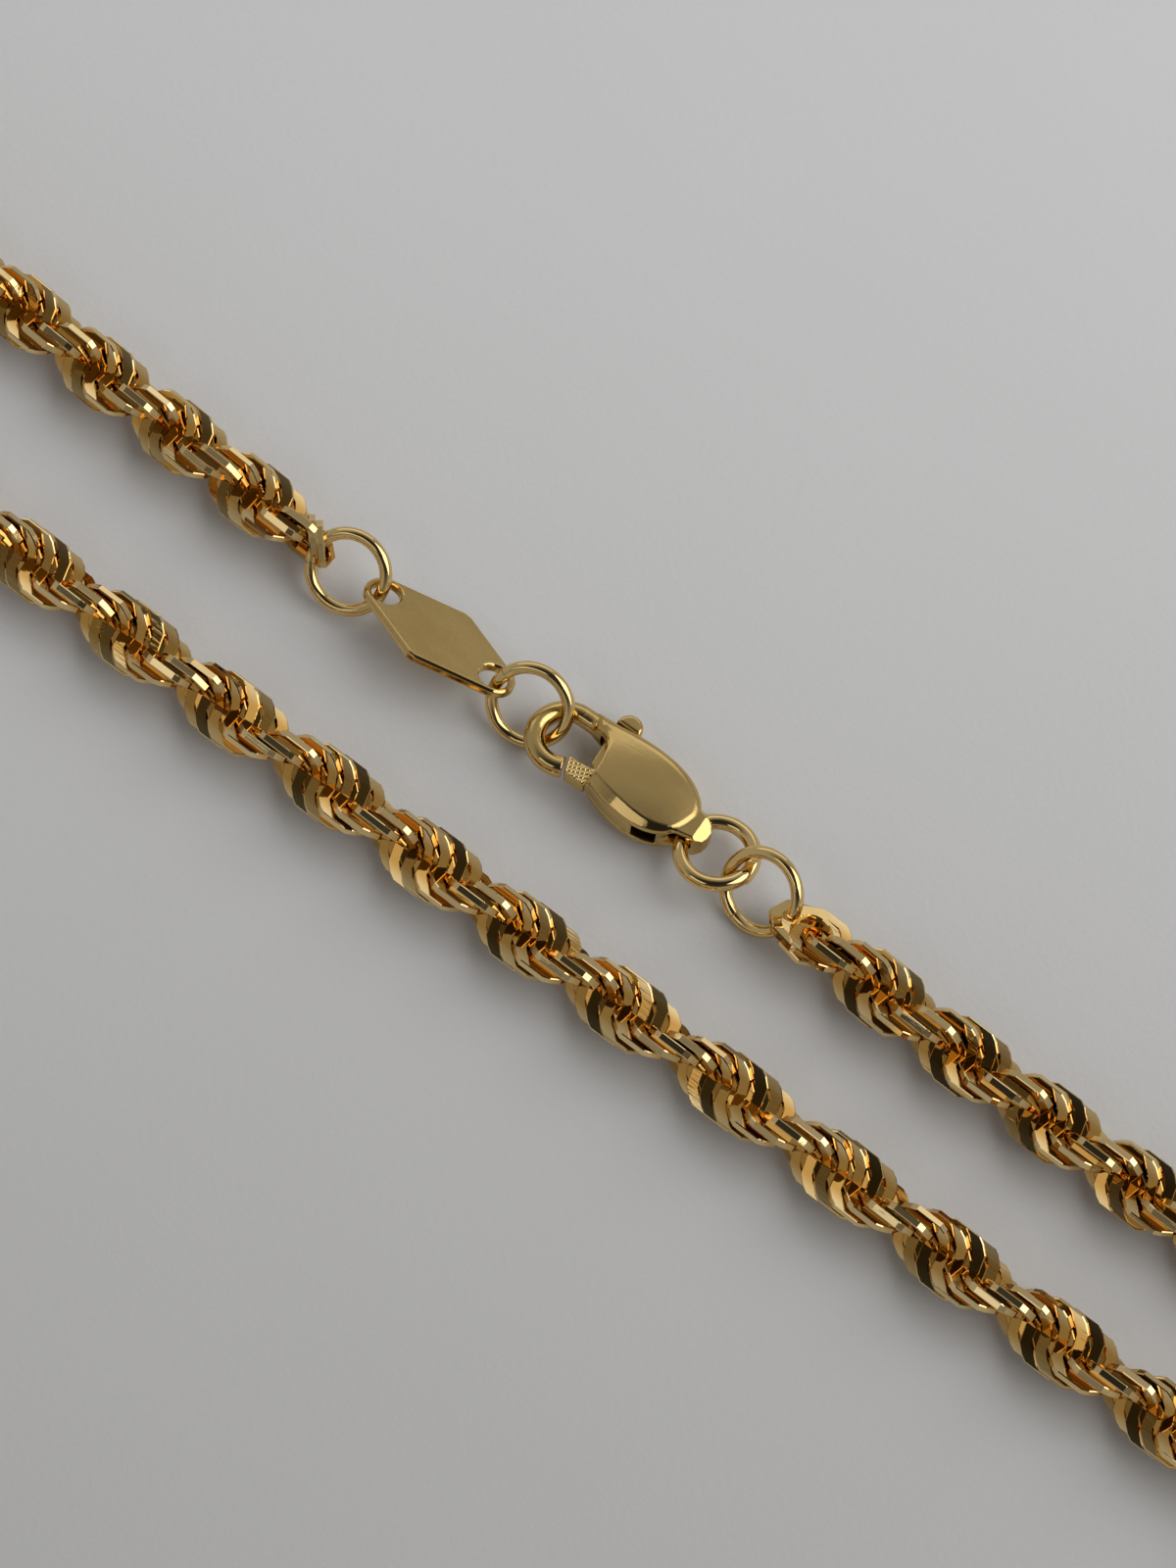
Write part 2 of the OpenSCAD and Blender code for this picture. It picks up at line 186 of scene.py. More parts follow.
class ClaspSettings(bpy.types.PropertyGroup):
    """The lobster clasp, in its own frame: X along it from the hook, Y towards the nub, Z through the cheeks."""
    at: bpy.props.FloatVectorProperty(name="Place", description="Outermost point of the hook", size=3,
                                      default=(-.0049, .00509, .00153), subtype="TRANSLATION", precision=6)
    turn: angle("Turn", "Turn of the clasp from the necklace's length", 2.4)
    roll: angle("Roll", "Roll of the clasp about its length", -8)
    length: length("Length", "Length of the clasp over all", .012)
    width: length("Width", "Width of the clasp's body", .0043)
    thickness: length("Thickness", "Thickness at the middle of the dome", .0027)
    dome: length("Dome", "Radius of the domed faces", .02)
    dome_middle: length("Dome middle", "Distance of the dome's middle from the hook's outermost point", .00696)
    rolled: length("Rolled edge", "Rounding where the dome rolls over the upper edge", .0006)
    flank_edge: length("Flank edge", "Height above the middle of the flank's outer edge", .00086)
    flank_slope: bpy.props.FloatProperty(name="Flank slope", description="Rise of the flank for its width",
                                         default=.72)
    hook_middle: length("Hook middle", "Distance of the bend's middle from the hook's outermost point", .002195)
    hook_bend: length("Hook bend", "Radius of the hook's middle line", .00176)
    hook_width: length("Hook width", "Width of the hook's metal across its bend", .00115)
    hook_thickness: length("Hook thickness", "Thickness of the hook's metal", .0012)
    tail_thickness: length("Tail thickness", "Thickness of the tail", .0019)
    tail_hole: length("Tail hole", "Diameter of the hole through the tail", .0013)
    tail_axis: angle("Tail hole turn", "Turn of the tail hole's axis", 15)
    slot: length("Slot", "Width of the slot between the cheeks", .00102)
    pin: length("Pin", "Diameter of the hinge pin", .0008)
    pin_gap: length("Pin gap", "Clearance round the hinge pin", .00005)
    lever: length("Lever", "Thickness of the lever between the cheeks", .0009)
    gate_reach: length("Gate reach", "From the pin to the end face of the gate", .00295)
    gate_gap: length("Gate gap", "Gap between the gate and the hook's tip", .00014)
    gate: length("Gate", "Thickness of the gate's end block", .00106)
    nub_width: length("Nub width", "Width of the thumb nub", .0015)
    nub_thickness: length("Nub thickness", "Thickness of the thumb nub", .0015)
    nub_foot: length("Nub foot", "Height of the nub's foot above the clasp's middle line", .00235)
    nub_height: length("Nub height", "How far the nub stands out of its foot", .00092)
    skin: length("Skin step", "Fineness of the clasp's skin", .00005)


class StageSettings(bpy.types.PropertyGroup):
    """The floor, the light and the camera."""
    # The floor's colour holds painted light at the top of the view and painted shade at its foot
    floor: colour("Floor", "Colour of the floor at the top of the view", (.9, .9, .9))
    floor_painted_shade: colour("Floor, near", "Colour of the floor at the foot of the view", (.64, .633, .62))
    room: bpy.props.FloatProperty(name="Room", description="Brightness of the room round the necklace",
                                  default=.37)
    azimuth: angle("Azimuth", "Direction that the camera looks from, round the necklace", 39)
    elevation: angle("Elevation", "Height of the camera above the floor, as an angle", 68)
    distance: length("Distance", "From the camera to the middle of its view", .3)


SETTINGS = {"rope_look": RopeSettings, "ring_look": RingSettings, "link_look": LinkSettings,
            "tag_look": TagSettings, "clasp_look": ClaspSettings, "stage_look": StageSettings}


class Signal:
    """A value that runs between nodes. Sums written with it become Math nodes."""

    def __init__(self, graph, socket):
        self.graph = graph
        self.socket = socket

    def math(self, operation, *terms):
        return self.graph.node("ShaderNodeMath", {"operation": operation}, dict(enumerate(terms)))

    def other(self, name):
        """Another output of the same node."""
        return Signal(self.graph, self.socket.node.outputs[name])

    def __add__(self, other):
        return self.math("ADD", self, other)

    def __radd__(self, other):
        return self.math("ADD", other, self)

    def __sub__(self, other):
        return self.math("SUBTRACT", self, other)

    def __rsub__(self, other):
        return self.math("SUBTRACT", other, self)

    def __mul__(self, other):
        return self.math("MULTIPLY", self, other)

    def __rmul__(self, other):
        return self.math("MULTIPLY", other, self)

    def __truediv__(self, other):
        return self.math("DIVIDE", self, other)

    def __rtruediv__(self, other):
        return self.math("DIVIDE", other, self)

    def __pow__(self, other):
        return self.math("POWER", self, other)


class Graph:
    """A node tree that is being laid out."""

    def __init__(self, tree):
        self.tree = tree

    def node(self, kind, settings=None, values=None, out=0):
        """Adds a node, sets it, feeds its inputs with values or signals, and gives one of its outputs."""
        made = self.tree.nodes.new(kind)
        for key, value in (settings or {}).items():
            if key == "stops":
                ramp = made.color_ramp.elements
                while len(ramp) < len(value):
                    ramp.new(.5)
                for stop, (place, tone) in zip(ramp, value):
                    stop.position = place
                    stop.color = (tone, tone, tone, 1)
            else:
                setattr(made, key, value)
        for key, value in (values or {}).items():
            if isinstance(value, Signal):
                self.tree.links.new(value.socket, made.inputs[key])
            else:
                made.inputs[key].default_value = value
        return Signal(self, made.outputs[out])

    def feed(self, signal, node, name):
        """Runs a signal into a named input of a node that is there already."""
        self.tree.links.new(signal.socket, node.inputs[name])


class Finish(Graph):
    """One material and the nodes that paint it."""

    def __init__(self, name, constants):
        self.material = bpy.data.materials.new(name)
        self.material.use_nodes = True
        super().__init__(self.material.node_tree)
        self.shader = self.tree.nodes["Principled BSDF"]
        for key, value in constants.items():
            self.shader.inputs[key].default_value = value

    def place(self):
        """Where a point is on the object, in metres."""
        return self.node("ShaderNodeTexCoord", out="Object")

    def noise(self, scale, detail=2.0, stretch=None):
        """Clouds of that many to the metre, drawn out where stretch says so."""
        at = self.place()
        if stretch:
            at = self.node("ShaderNodeMapping", values={"Vector": at, "Scale": stretch})
        return self.node("ShaderNodeTexNoise", values={"Vector": at, "Scale": scale, "Detail": detail})

    def blend(self, share, low, high):
        """A colour between two, by share."""
        return self.node("ShaderNodeMix", {"data_type": "RGBA"}, {0: share, 6: low, 7: high}, out=2)

    def relief(self, height, depth):
        """Small relief of that depth in metres, as a normal."""
        return self.node("ShaderNodeBump", values={"Height": height, "Distance": depth, "Strength": 1.0})


# Painted shade: a deep gold colour laid between the rings, where they are lit only by other gold, and how much a
# ring's chance changes its tone and gloss
GOLD_PAINTED_SHADE = (.6, .33, .08)
CHANCE_TONE = .3
CHANCE_GLOSS = .02


def gold(name, light, deep, roughness, rough_range, scratch_depth, grain, wound=False, flanks=None):
    """Gold of one finish: its tone drifts a little, its gloss is uneven, and fine marks of handling cross it.

    Wound gold has painted shade: its colour is deeper towards the rope's middle, where the rings shade each
    other, and no two rings are alike.
    Where a piece's flanks are marked to shine, they have the roughness that flanks says.
    """
    finish = Finish(name, {"Metallic": 1.0, "Specular Tint": (1, .93, .8, 1)})
    tone = finish.noise(420, 4.0, (.5, 1, 1))
    sheen = roughness + (finish.noise(grain * .35, 4.0) - .5) * rough_range
    if wound:
        chance = finish.node("ShaderNodeAttribute", {"attribute_name": "chance"}, out="Fac")
        outward = finish.node("ShaderNodeAttribute", {"attribute_name": "outward"}, out="Fac")
        # Painted shade: inwards of half the rope's radius the colour goes over to the deep shaded gold
        clear_of_painted_shade = finish.node("ShaderNodeMapRange", {"interpolation_type": "SMOOTHSTEP"},
                            {"Value": outward, "From Min": .5, "From Max": 1.0})
        surface = finish.blend(tone * (1 - CHANCE_TONE) + chance * CHANCE_TONE, (*deep, 1), (*light, 1))
        finish.feed(finish.blend(clear_of_painted_shade, (*GOLD_PAINTED_SHADE, 1), surface), finish.shader, "Base Color")
        sheen = sheen + chance * CHANCE_GLOSS
    else:
        finish.feed(finish.blend(tone, (*deep, 1), (*light, 1)), finish.shader, "Base Color")
    if flanks:
        shine = finish.node("ShaderNodeAttribute", {"attribute_name": "shine"}, out="Fac")
        sheen = sheen * (1 - shine) + shine * flanks
    finish.feed(sheen, finish.shader, "Roughness")
    marks = finish.noise(grain, 2.0, (.12, 1, 1))
    finish.feed(finish.relief(marks, scratch_depth), finish.shader, "Normal")
    return finish.material


def finishes():
    """Every metal finish of the necklace, by name."""
    return {
        "cut": gold("cut_gold", (.92, .7, .36), (.76, .55, .25), .06, .06, .000004, 5200, wound=True),
        "polished": gold("polished_gold", (.88, .65, .3), (.72, .5, .19), .06, .06, .000004, 3800),
        "satin": gold("satin_gold", (.75, .54, .22), (.5, .33, .11), .2, .1, .0000035, 9000, flanks=.09),
    }


def metal(name):
    """A finish that the first operator has made."""
    return bpy.data.materials[name + "_gold"]


def keep(obj, slot, *nodes, body=BODY):
    """Hangs a finished piece on its body, in place of the solids that it stands for."""
    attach(obj, body)
    if nodes:
        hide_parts(*nodes)
    return obj


def piece(name, mesh, finish):
    """A mesh as an object of the scene, at the origin, with its finish."""
    mesh.materials.clear()
    mesh.materials.append(metal(finish))
    obj = bpy.data.objects.new(name, mesh)
    bpy.context.scene.collection.objects.link(obj)
    return obj


def loops_mesh(name, loops, ring_closed=True, ends=False):
    """A skin over loops of equally many points: ring_closed joins the last loop to the first, ends caps them."""
    count = len(loops[0])
    points = [tuple(p) for loop in loops for p in loop]
    faces = []
    for i in range(len(loops) if ring_closed else len(loops) - 1):
        a, b = i * count, (i + 1) % len(loops) * count
        for j in range(count):
            k = (j + 1) % count
            faces.append((a + j, a + k, b + k, b + j))
    if ends:
        last = (len(loops) - 1) * count
        faces.append(tuple(range(count - 1, -1, -1)))
        faces.append(tuple(range(last, last + count)))
    mesh = bpy.data.meshes.new(name)
    mesh.from_pydata(points, [], faces)
    outward(mesh)
    return mesh


def outward(mesh):
    """Turns every face of a closed mesh outwards."""
    work = bmesh.new()
    work.from_mesh(mesh)
    bmesh.ops.recalc_face_normals(work, faces=work.faces)
    work.to_mesh(mesh)
    work.free()


def curve(guides, steps=24):
    """Points of a smooth curve through four guides, without its last one."""
    a, b, c, d = guides
    rows = []
    for i in range(steps):
        t = i / steps
        u = 1 - t
        rows.append(tuple(u ** 3 * a[k] + 3 * t * u * u * b[k] + 3 * t * t * u * c[k] + t ** 3 * d[k]
                          for k in (0, 1)))
    return rows


def row_distance(points, x, y, closed=True):
    """Distance to a row of points joined by lines. Inside a closed row it is less than nothing."""
    away = np.full(np.broadcast(x, y).shape, np.inf)
    winding = np.zeros(away.shape, int)
    ends = points[1:] + points[:1] if closed else points[1:]
    for (ax, ay), (bx, by) in zip(points, ends):
        ex, ey = bx - ax, by - ay
        t = np.clip(((x - ax) * ex + (y - ay) * ey) / (ex * ex + ey * ey), 0, 1)
        away = np.minimum(away, np.hypot(x - ax - ex * t, y - ay - ey * t))
        left = ex * (y - ay) - ey * (x - ax)
        winding += ((ay <= y) & (y < by) & (left > 0)).astype(int)
        winding -= ((by <= y) & (y < ay) & (left < 0)).astype(int)
    return np.where(winding != 0, -away, away) if closed else away


def both(a, b, ease):
    """The overlap of two shapes given as distances, with the edge between them rounded by ease."""
    h = np.clip(.5 + .5 * (a - b) / ease, 0, 1)
    return a * h + b * (1 - h) + ease * h * (1 - h)


def either(a, b, ease):
    """The sum of two shapes given as distances, with the corner between them filled by ease."""
    return -both(-a, -b, ease)


def field_rows(low, high, step):
    """Rows of x, y and z through a box, shaped so that sums of them fill the box."""
    x, y, z = (np.arange(a, b + step, step) for a, b in zip(low, high))
    return x[:, None, None], y[None, :, None], z[None, None, :]


# How far from level a skin starts to count as a flank, and over what range, both as cosines
FLANK_FROM = .93
FLANK_RANGE = .08


def skin_mesh(name, field, low, step, lie):
    """The skin where a field of distances is nothing, set in its place. Its flanks are marked to shine."""
    grid = openvdb.FloatGrid()
    grid.copyFromArray((field / step).astype(np.float32))
    points, quads = grid.convertToQuads(isovalue=0)
    points = np.asarray(points) * step + np.array(low)
    mesh = bpy.data.meshes.new(name)
    mesh.from_pydata(points.tolist(), [], np.asarray(quads).tolist())
    normals = np.empty(len(points) * 3, np.float32)
    mesh.vertex_normals.foreach_get("vector", normals)
    shine = mesh.attributes.new("shine", "FLOAT", "POINT")
    shine.data.foreach_set("value", np.clip((FLANK_FROM - np.abs(normals[2::3])) / FLANK_RANGE, 0, 1))
    mesh.transform(lie)
    mesh.shade_smooth()
    return mesh


def clasp_lie(look):
    """The clasp's own frame in the necklace."""
    return Matrix.Translation(look.at) @ Matrix.Rotation(look.turn, 4, "Z") @ Matrix.Rotation(look.roll, 4, "X")


def sized(look, points):
    """An outline given in shares of the clasp, in metres."""
    return [(u * look.length, v * look.width) for u, v in points]


def clasp_pin(look):
    """Where the hinge pin crosses the clasp."""
    return look.length * PIN_AT[0], look.width * PIN_AT[1]


def body_outline(look):
    """The outline of the clasp's two cheeks."""
    return sized(look, curve(UPPER_EDGE) + curve(LOWER_EDGE) + curve(FRONT_EDGE) + [FRONT_EDGE[3]])


def hook_field(look, x, y, z):
    """The hook: a rounded bar bent round, and its straight root."""
    pin_x, pin_y = clasp_pin(look)
    qx = x - look.hook_middle
    spare = max(look.hook_thickness - look.hook_width, 0) / 2

    def bar(across):
        return np.hypot(across, np.maximum(np.abs(z) - spare, 0)) - look.hook_width / 2

    tip = math.radians(HOOK_TIP)
    open_side = np.minimum(qx, qx * -math.sin(tip) + y * math.cos(tip))
    arc = np.maximum(bar(np.hypot(qx, y) - look.hook_bend), open_side)
    cut = look.gate_reach + look.gate_gap - np.hypot(x - pin_x, y - pin_y)
    arc = both(arc, cut + 0 * z, CUT_EDGE)
    root = np.maximum(bar(y - look.hook_bend), np.maximum(-qx, x - look.length * HOOK_ROOT))
    return np.minimum(arc, root)


def clasp_body_field(look, x, y, z):
    """Hook, cheeks and tail of the clasp as one casting, with its slot and holes cut."""
    high = np.abs(z)
    plan = row_distance(body_outline(look), x, y)
    lower = row_distance(sized(look, curve(LOWER_EDGE) + [LOWER_EDGE[3]]), x, y, closed=False)
    under = look.dome - look.thickness / 2
    dome = np.sqrt((x - look.dome_middle) ** 2 + y ** 2 + (high + under) ** 2) - look.dome
    # The dome rolls over its edge on the upper side and at the tail, and meets it nearly sharp elsewhere
    upper, rear = y / look.width * 3, x / look.length * 9 - 7
    ease = look.rolled * np.clip(np.maximum(upper, rear), LEAST_ROLL, 1)
    cheeks = both(plan + 0 * z, dome, ease)
    flank = (high - look.flank_edge - look.flank_slope * lower) / math.hypot(1, look.flank_slope)
    cheeks = both(cheeks, flank, CREASE)
    tail_plan = row_distance(sized(look, TAIL_OUTLINE), x, y)
    tail = both(tail_plan + 0 * z, high - look.tail_thickness / 2, TAIL_ROUND)
    hole_y = look.width * TAIL_HOLE_AT[1]
    facet_x, facet_y, facet_z = FACET_WAY
    end_facet = facet_x * (x - look.length) + facet_y * (y - hole_y) + facet_z * (high - FACET_HEIGHT)
    tail = np.maximum(tail, end_facet)
    body = either(cheeks, tail, TAIL_SEAM)
    body = either(body, hook_field(look, x, y, z), HOOK_SEAM)
    slot = np.maximum(row_distance(sized(look, SLOT_OUTLINE), x, y), high - look.slot / 2)
    body = both(body, -slot, CUT_EDGE)
    pin_x, pin_y = clasp_pin(look)
    pin_end = look.thickness * .35
    socket = np.maximum(np.hypot(x - pin_x, y - pin_y) - look.pin / 2, high - pin_end)
    body = np.maximum(body, -socket)
    hole_x = look.length * TAIL_HOLE_AT[0]
    across = (x - hole_x) * math.cos(look.tail_axis) - (y - hole_y) * math.sin(look.tail_axis)
    return both(body, look.tail_hole / 2 - np.hypot(across, z), TAIL_HOLE_ROUND)


def clasp_lever_field(look, x, y, z):
    """Gate, arm, heel, hub and thumb nub of the lever as one casting."""
    high = np.abs(z)
    pin_x, pin_y = clasp_pin(look)
    hub = look.pin / 2 + HUB_WALL
    half = look.width / 2
    gate_low, gate_high, gate_root = -half + GATE_EDGES[0], -half + GATE_EDGES[1], look.length * GATE_ROOT
    nub_x = look.length * NUB_AT
    nub_left, nub_right = nub_x - look.nub_width / 2, nub_x + look.nub_width / 2
    round_y = look.nub_foot + look.nub_height - look.nub_width / 2
    from_pin = np.hypot(x - pin_x, y - pin_y)
    arm_end = gate_root - GATE_TALL
    arm = row_distance([(arm_end, gate_low), (pin_x, pin_y - hub), (pin_x, pin_y), (arm_end, gate_high)], x, y)
    neck = row_distance([(nub_left, round_y), (nub_right, round_y), (pin_x + hub, pin_y),
                         (pin_x, pin_y - hub), (nub_x - look.nub_width / 4, pin_y)], x, y)
    heel = row_distance([(gate_root, -look.width), (look.length * .7, -look.width),
                         (look.length * .68, .00095 - half), (pin_x, pin_y), (gate_root, pin_y - hub)], x, y)
    heel = np.maximum(heel, row_distance(body_outline(look), x, y))
    plan = either(np.minimum(from_pin - hub, np.minimum(arm, neck)), heel, .0001)
    plate = both(plan + 0 * z, high - look.lever / 2, CUT_EDGE)
    gate_rise = np.abs(y - (gate_low + gate_high) / 2) - (gate_high - gate_low) / 2
    gate = both(from_pin - look.gate_reach, gate_rise, .00012)
    one_way = np.cos((x + y * .4) * 2 * math.pi / RIDGE_STEPS[0])
    ridges = RIDGE * (2 + one_way + np.cos((y - x * .5) * 2 * math.pi / RIDGE_STEPS[1]))
    gate = both(np.maximum(gate, x - gate_root) + 0 * z, high - look.gate / 2 + ridges, .00008)
    nub = np.where(y > round_y, np.hypot(x - nub_x, y - round_y), np.abs(x - nub_x)) - look.nub_width / 2
    nub = both(np.maximum(nub, look.nub_foot - y) + 0 * z, high - look.nub_thickness / 2, .00025)
    lever = np.minimum(either(plate, gate, .00004), nub)
    return np.maximum(lever, look.pin / 2 + look.pin_gap - from_pin)


def tag_field(look, x, y, z):
    """The tag: a blunt lozenge with round tips, a hole in each tip and chamfered faces."""
    tip = look.hole / 2 + look.rim
    corner_x, corner_y = look.blunt / 2, look.width / 2
    reach_x, reach_y = corner_x - look.pitch / 2, corner_y
    leave = math.atan2(reach_y, reach_x) - math.acos(tip / math.hypot(reach_x, reach_y))
    side_x, side_y = look.pitch / 2 + tip * math.cos(leave), tip * math.sin(leave)
    lozenge = row_distance([(side_x, side_y), (corner_x, corner_y), (-corner_x, corner_y), (-side_x, side_y),
                            (-side_x, -side_y), (-corner_x, -corner_y), (corner_x, -corner_y),
                            (side_x, -side_y)], x, y)
    from_hole = np.hypot(np.abs(x) - look.pitch / 2, y)
    plan = np.maximum(np.minimum(lozenge, from_hole - tip), look.hole / 2 - from_hole)
    high = np.abs(z) - look.thickness / 2
    chamfer = (plan + high + look.chamfer) / math.sqrt(2)
    return both(np.maximum(plan + 0 * z, high), chamfer, TAG_EDGE)


def cut_ring_outline(look):
    """The outline of a ring after its outer side is cut flat, as (along, outwards) points."""
    first = math.asin(look.flat / 2 / look.ring_radius)
    half = [(look.ring_radius * math.sin(a), look.ring_radius * math.cos(a))
            for a in [first] + [math.radians(d) for d in RING_CORNERS]]
    (x0, y0), (x1, y1) = half[:2]
    share = look.corner / math.hypot(x1 - x0, y1 - y0)
    half[0] = (x0 + (x1 - x0) * share, y0 + (y1 - y0) * share)
    half.insert(0, (x0 - look.corner / 2, y0))
    return half + [(-x, y) for x, y in reversed(half)]


def cut_ring_mesh(look):
    """One flat ring of the rope. X runs along the rope and Y away from the rope's middle line."""
    outline = cut_ring_outline(look)
    lift = look.radius - look.ring_radius * math.cos(math.asin(look.flat / 2 / look.ring_radius))
    half = look.thickness / 2

    def pulled(inset):
        return [(x * (1 - inset / math.hypot(x, y)), y * (1 - inset / math.hypot(x, y))) for x, y in outline]

    bore = look.hole_radius
    hole = [(x * bore / math.hypot(x, y), y * bore / math.hypot(x, y)) for x, y in outline]
    rows = [(pulled(0), -half + look.bevel), (pulled(0), half - look.bevel), (pulled(look.bevel), half),
            (hole, half), (hole, -half), (pulled(look.bevel), -half)]
    loops = [[(row[i][0], row[i][1] + lift, z) for row, z in rows] for i in range(len(outline))]
    mesh = loops_mesh("rope_ring", loops)
    # How far out each point lies; the cut gold reads it to paint shade towards the rope's middle
    depth = mesh.attributes.new("outward", "FLOAT", "POINT")
    depth.data.foreach_set("value", [v.co.y / look.radius for v in mesh.vertices])
    return mesh


# Where along X the far strand is wound unevenly, and how far that reaches, in metres
SLACK_AT = .01
SLACK_REACH = .009

# Half the width of the blends from one strand to the other, and from the clasp's end to the tag's, in metres
STRAND_BLEND = .004
END_BLEND = .01

ROPE_INPUTS = (
    ("Pitch", "NodeSocketFloat"),
    ("Half turn clasp side", "NodeSocketFloat"),
    ("Half turn far side", "NodeSocketFloat"),
    ("Turn right", "NodeSocketFloat"),
    ("Turn far", "NodeSocketFloat"),
    ("Turn left", "NodeSocketFloat"),
    ("Slack", "NodeSocketFloat"),
    ("Sway", "NodeSocketFloat"),
    ("Seed", "NodeSocketInt"),
    ("Ring", "NodeSocketObject"),
    ("Metal", "NodeSocketMaterial"),
)


def rope_tree():
    """Sets rings along a line, each turned half round and a little more from the one before."""
    tree = bpy.data.node_groups.new("rope_winding", "GeometryNodeTree")
    tree.interface.new_socket("Line", in_out="INPUT", socket_type="NodeSocketGeometry")
    for name, kind in ROPE_INPUTS:
        tree.interface.new_socket(name, in_out="INPUT", socket_type=kind)
    tree.interface.new_socket("Rope", in_out="OUTPUT", socket_type="NodeSocketGeometry")
    g = Graph(tree)
    given = g.node("NodeGroupInput")
    line = g.node("GeometryNodeMeshToCurve", values={"Mesh": given})
    line = g.node("GeometryNodeCurveSplineType", {"spline_type": "CATMULL_ROM"}, {"Curve": line})
    places = g.node("GeometryNodeCurveToPoints", {"mode": "LENGTH"},
                    {"Curve": line, "Length": given.other("Pitch")})
    side = g.node("ShaderNodeSeparateXYZ", values={0: g.node("GeometryNodeInputPosition")}, out="Y")
    near = g.node("ShaderNodeMapRange", {"interpolation_type": "SMOOTHSTEP"},
                  {"Value": side, "From Min": -STRAND_BLEND, "From Max": STRAND_BLEND})
    right = g.node("ShaderNodeMapRange", {"interpolation_type": "SMOOTHSTEP"},
                   {"Value": side.other("X"), "From Min": -END_BLEND, "From Max": END_BLEND})
    half_turn = given.other("Half turn far side") * (1 - near) + given.other("Half turn clasp side") * near
    step = given.other("Pitch") / half_turn * math.pi
    wound = g.node("GeometryNodeAccumulateField", values={"Value": step}, out="Trailing")
    chance = g.node("FunctionNodeRandomValue", {"data_type": "FLOAT"},
                    {2: -1.0, 3: 1.0, "Seed": given.other("Seed")}, out=1)
    index = g.node("GeometryNodeInputIndex")
    first = given.other("Turn right") * right + given.other("Turn left") * (1 - right)
    from_slack = (side.other("X") - SLACK_AT) / SLACK_REACH
    slack = given.other("Slack") * from_slack.math("EXPONENT", from_slack * from_slack * -1)
    first = (given.other("Turn far") + slack) * (1 - near) + first * near
    turn = first + chance * given.other("Sway") - wound - index * math.pi
    along = g.node("FunctionNodeAxesToRotation", {"primary_axis": "X", "secondary_axis": "Z"},
                   {"Primary Axis": places.other("Tangent"), "Secondary Axis": (0, 0, 1)})
    about = g.node("FunctionNodeAxisAngleToRotation", values={"Axis": (1, 0, 0), "Angle": turn})
    lie = g.node("FunctionNodeRotateRotation", {"rotation_space": "LOCAL"},
                 {"Rotation": along, "Rotate By": about})
    places = g.node("GeometryNodeStoreNamedAttribute", {"data_type": "FLOAT", "domain": "POINT"},
                    {"Geometry": places, "Name": "chance", "Value": chance})
    ring = g.node("GeometryNodeObjectInfo", values={"Object": given.other("Ring")}, out="Geometry")
    rings = g.node("GeometryNodeInstanceOnPoints",
                   values={"Points": places, "Instance": ring, "Rotation": lie})
    rope = g.node("GeometryNodeRealizeInstances", values={"Geometry": rings})
    rope = g.node("GeometryNodeSetMaterial", values={"Geometry": rope, "Material": given.other("Metal")})
    g.feed(rope, tree.nodes.new("NodeGroupOutput"), "Rope")
    return tree


def middle(node):
    """The middle of a solid's box."""
    low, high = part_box(node)
    return (low + high) / 2


def rope_line(name):
    """The rope's middle line as a row of edges, from one end link round to the other."""
    look = bpy.context.scene.rope_look
    overlap = look.hole_radius * .8
    start, end = middle("end_link_clasp_side"), middle("end_link_tag_side")
    flat = [(start.x + overlap, start.y), (start.x + 3 * overlap, start.y), *ROPE_ROUTE,
            (end.x - 3 * overlap, end.y), (end.x - overlap, end.y)]
    mesh = bpy.data.meshes.new(name)
    mesh.from_pydata([(x, y, look.radius) for x, y in flat], [(i, i + 1) for i in range(len(flat) - 1)], [])
    return mesh


def grown(obj, tree, values):
    """Runs a node tree over an object and gives the plain mesh that comes out."""
    modifier = obj.modifiers.new("growth", "NODES")
    modifier.node_group = tree
    for item in tree.interface.items_tree:
        if item.in_out == "INPUT" and item.name in values:
            modifier[item.identifier] = values[item.name]
    bpy.context.view_layer.update()
    clear_of_painted_shade = obj.evaluated_get(bpy.context.evaluated_depsgraph_get())
    mesh = bpy.data.meshes.new_from_object(clear_of_painted_shade)
    obj.modifiers.remove(modifier)
    return mesh


def remove(*objects):
    """Takes helper objects out of the file."""
    for obj in objects:
        bpy.data.objects.remove(obj)


class NECKLACE_OT_finishes(bpy.types.Operator):
    """Make the gold finishes"""
    bl_idname = "necklace.finishes"
    bl_label = "Gold finishes"

    def execute(self, context):
        finishes()
        return {"FINISHED"}


class NECKLACE_OT_rope(bpy.types.Operator):
    """Wind the rope from its cut rings"""
    bl_idname = "necklace.rope"
    bl_label = "Rope"

    def execute(self, context):
        look = context.scene.rope_look
        ring = piece("rope_ring", cut_ring_mesh(look), "cut")
        line = piece("rope_line", rope_line("rope_line"), "cut")
        mesh = grown(line, rope_tree(), {
            "Pitch": look.pitch, "Half turn clasp side": look.turn_clasp_side,
            "Half turn far side": look.turn_far_side, "Turn right": look.turn_right, "Turn far": look.turn_far,
            "Turn left": look.turn_left, "Slack": look.slack, "Sway": look.sway, "Seed": 7, "Ring": ring,
            "Metal": metal("cut")})
        remove(ring, line)
        keep(piece("rope", mesh, "cut"), "gold_cut", "rope_chain")
        return {"FINISHED"}


